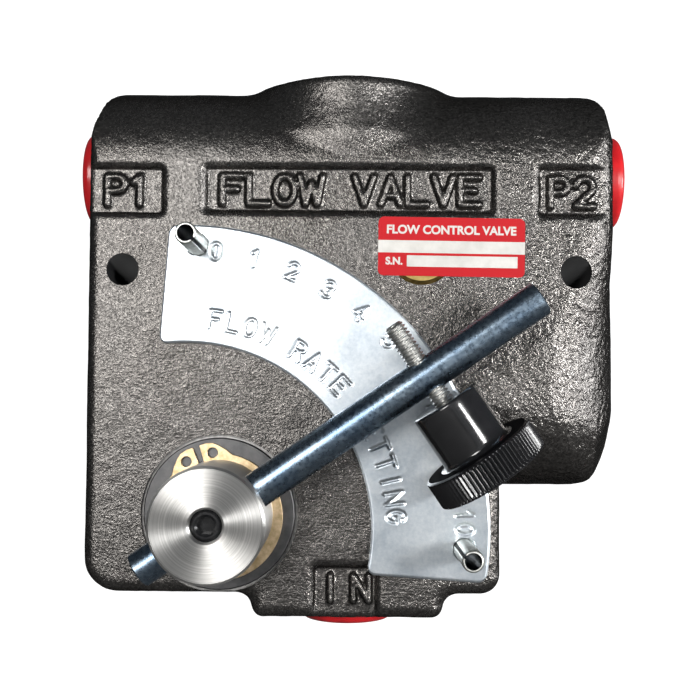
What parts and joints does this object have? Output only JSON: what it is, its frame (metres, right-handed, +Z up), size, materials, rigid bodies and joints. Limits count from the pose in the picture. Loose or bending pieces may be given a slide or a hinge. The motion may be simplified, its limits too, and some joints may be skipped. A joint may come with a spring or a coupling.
{
  "type": "flow control valve",
  "caption": "Cast-iron hydraulic flow control valve: lever turned metering shaft over a stamped dial, locking thumb screw, three capped pipe ports and a sprung compensator.",
  "frame": {"origin": "midway between the two mounting holes, on the flat mounting face", "axes": "+X to the right seen from the front, +Z up towards the side ports, +Y out of the mounting face (away from the viewer)"},
  "size_m": [0.1513, 0.0839, 0.1488],
  "materials": {
    "valve_body": "shot-blasted, lightly oiled",
    "rotary_spool": "turned bright",
    "shaft_o_ring": "smooth",
    "shaft_backup_ring": "matt",
    "thrust_washer": "dark oxide, smooth",
    "retaining_ring": "yellow zinc plate",
    "lever_rod": "bright zinc plate",
    "hub_set_screw": "black oxide",
    "thumb_stud": "bright zinc plate",
    "thumb_knob": "glossy black",
    "dial_plate": "zinc plate, stamped",
    "stop_pin_high": "spring steel",
    "stop_pin_low": "spring steel",
    "rating_label": "printed foil",
    "expansion_plug": "as pressed",
    "compensator_spool": "ground",
    "damping_orifice": "turned",
    "compensator_spring": "spring wire",
    "top_plug": "phosphated",
    "top_plug_o_ring": "smooth",
    "inlet_cap": "moulded",
    "controlled_cap": "moulded",
    "excess_cap": "moulded"
  },
  "bodies": {
    "housing": {"valve_body": "valve_body", "thrust_washer": "thrust_washer", "dial_plate": "dial_plate", "stop_pin_high": "stop_pin_high", "stop_pin_low": "stop_pin_low", "rating_label": "rating_label", "expansion_plug": "expansion_plug", "compensator_spring": "compensator_spring", "top_plug": "top_plug", "top_plug_o_ring": "top_plug_o_ring"},
    "lever": {"rotary_spool": "rotary_spool", "shaft_o_ring": "shaft_o_ring", "shaft_backup_ring": "shaft_backup_ring", "retaining_ring": "retaining_ring", "hub_set_screw": "hub_set_screw"},
    "rod": {"lever_rod": "lever_rod"},
    "screw_stud": {"thumb_stud": "thumb_stud"},
    "screw_knob": {"thumb_knob": "thumb_knob"},
    "compensator": {"compensator_spool": "compensator_spool", "damping_orifice": "damping_orifice"},
    "inlet_cap_body": {"inlet_cap": "inlet_cap"},
    "controlled_cap_body": {"controlled_cap": "controlled_cap"},
    "excess_cap_body": {"excess_cap": "excess_cap"}
  },
  "joints": [
    {"name": "lever_swing", "type": "hinge", "parent": "housing", "child": "lever", "pos_m": [-0.0339, -0.0254, -0.0645], "axis": [0, -1, 0], "range_deg": [-9.5, 43]},
    {"name": "rod_roll", "type": "hinge", "parent": "lever", "child": "rod", "pos_m": [-0.0339, -0.0703, -0.0645], "axis": [-0.8246, 0, -0.5657], "range_deg": [0, 93.5]},
    {"name": "thumb_travel", "type": "slide", "parent": "rod", "child": "screw_stud", "axis": [-0.5646, -0.061, 0.8231], "range_m": [-0.001, 0.0025]},
    {"name": "thumb_turn", "type": "hinge", "parent": "screw_stud", "child": "screw_knob", "pos_m": [0.01921, -0.0703, -0.02807], "axis": [-0.5646, -0.061, 0.8231], "range_deg": [-358, 896]},
    {"name": "compensator_slide", "type": "slide", "parent": "housing", "child": "compensator", "axis": [0, 0, 1], "range_m": [0, 0.006], "stiffness_N_per_m": 4000, "springref_m": -0.004, "deforming": ["compensator_spring"]},
    {"name": "inlet_cap_pull", "type": "slide", "parent": "housing", "child": "inlet_cap_body", "axis": [0, 0, -1], "range_m": [0, 0.06]},
    {"name": "controlled_cap_pull", "type": "slide", "parent": "housing", "child": "controlled_cap_body", "axis": [-1, 0, 0], "range_m": [0, 0.06]},
    {"name": "excess_cap_pull", "type": "slide", "parent": "housing", "child": "excess_cap_body", "axis": [1, 0, 0], "range_m": [0, 0.06]}
  ],
  "couplings": [
    {"joint": "thumb_travel", "follows": "thumb_turn", "m_per_rad": 0.00015915}
  ]
}
